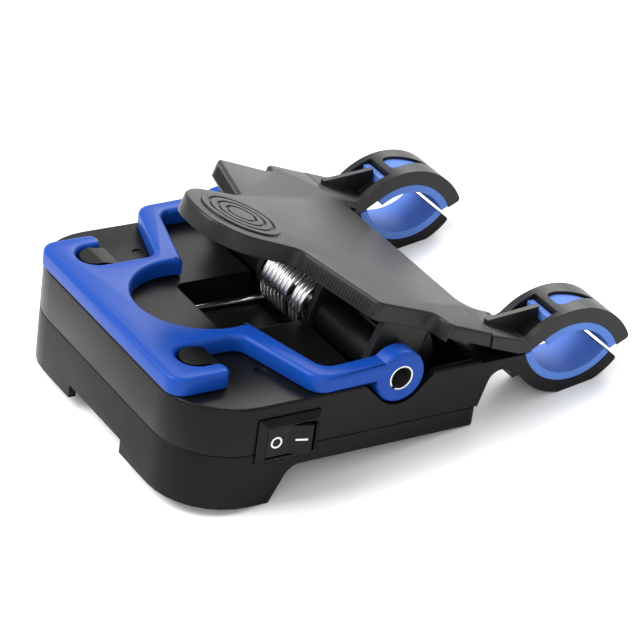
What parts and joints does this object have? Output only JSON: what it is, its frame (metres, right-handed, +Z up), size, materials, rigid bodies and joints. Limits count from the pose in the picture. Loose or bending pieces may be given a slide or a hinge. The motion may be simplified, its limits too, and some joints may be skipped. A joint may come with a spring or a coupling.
{
  "type": "clamp work light",
  "caption": "Clip-on work light: spring-loaded padded jaws, a squeeze lever on a hollow hinge pin, a folding hook stand and a side rocker switch.",
  "frame": {"origin": "middle of the part's footprint, level with the bench it lies on", "axes": "+X from the lamp head towards the jaws, +Y along the hinge pin away from the switch, +Z up from the bench"},
  "size_m": [0.158, 0.116, 0.0706],
  "materials": {
    "case_black": "satin moulded",
    "lever_grey": "fine matte moulded",
    "stand_blue": "semi-gloss moulded",
    "pad_blue": "soft matte",
    "spring_steel": "drawn wire",
    "pin_steel": "rolled sheet, bright",
    "screw_steel": "zinc plated",
    "lens_clear": "clear moulded",
    "reflector_white": "bright white",
    "led_yellow": "phosphor",
    "board_white": "white solder mask",
    "board_green": "green solder mask",
    "chip_black": "moulded",
    "cell_wrap": "printed wrap, plain",
    "contact_nickel": "nickel plated",
    "terminal_brass": "stamped",
    "lead_red": "insulated wire",
    "switch_black": "smooth moulded",
    "mark_white": "moulded mark"
  },
  "bodies": {
    "case": {"upper_case": "case_black", "lower_jaw_near": "case_black", "lower_jaw_far": "case_black", "lower_case": "case_black", "battery_door": "case_black", "lens": "lens_clear", "reflector": "reflector_white", "led_board": "board_white", "leds": "led_yellow", "control_board": "board_green", "board_parts": "chip_black", "battery_cells": "cell_wrap", "battery_contacts": "contact_nickel", "switch_housing": "switch_black", "switch_terminals": "terminal_brass", "switch_leads": "lead_red", "hinge_pin": "pin_steel", "torsion_spring": "spring_steel", "lower_pad_near": "pad_blue", "lower_pad_far": "pad_blue", "stand_washers": "screw_steel", "case_screws": "screw_steel", "door_screw": "screw_steel"},
    "lever": {"clamp_lever": "lever_grey", "upper_jaw_near": "lever_grey", "upper_jaw_far": "lever_grey", "upper_pad_near": "pad_blue", "upper_pad_far": "pad_blue", "spring_lever_end": "spring_steel"},
    "stand": {"stand": "stand_blue", "stand_arm_near": "stand_blue", "stand_arm_far": "stand_blue"},
    "rocker": {"rocker": "switch_black", "rocker_marks": "mark_white"}
  },
  "joints": [
    {"name": "lever_open", "type": "hinge", "parent": "case", "child": "lever", "pos_m": [-0.00428, 0.00195, 0.02709], "axis": [0, -1, 0], "range_deg": [0, 24], "stiffness_Nm_per_rad": 1.4, "springref_deg": -34.38},
    {"name": "stand_swing", "type": "hinge", "parent": "case", "child": "stand", "pos_m": [-0.00428, 0.00195, 0.02709], "axis": [0, 1, 0], "range_deg": [0, 95]},
    {"name": "rocker_tip", "type": "hinge", "parent": "case", "child": "rocker", "pos_m": [-0.04353, -0.05065, 0.0214], "axis": [0.1628, 0, 0.9867], "range_deg": [0, 16]}
  ]
}
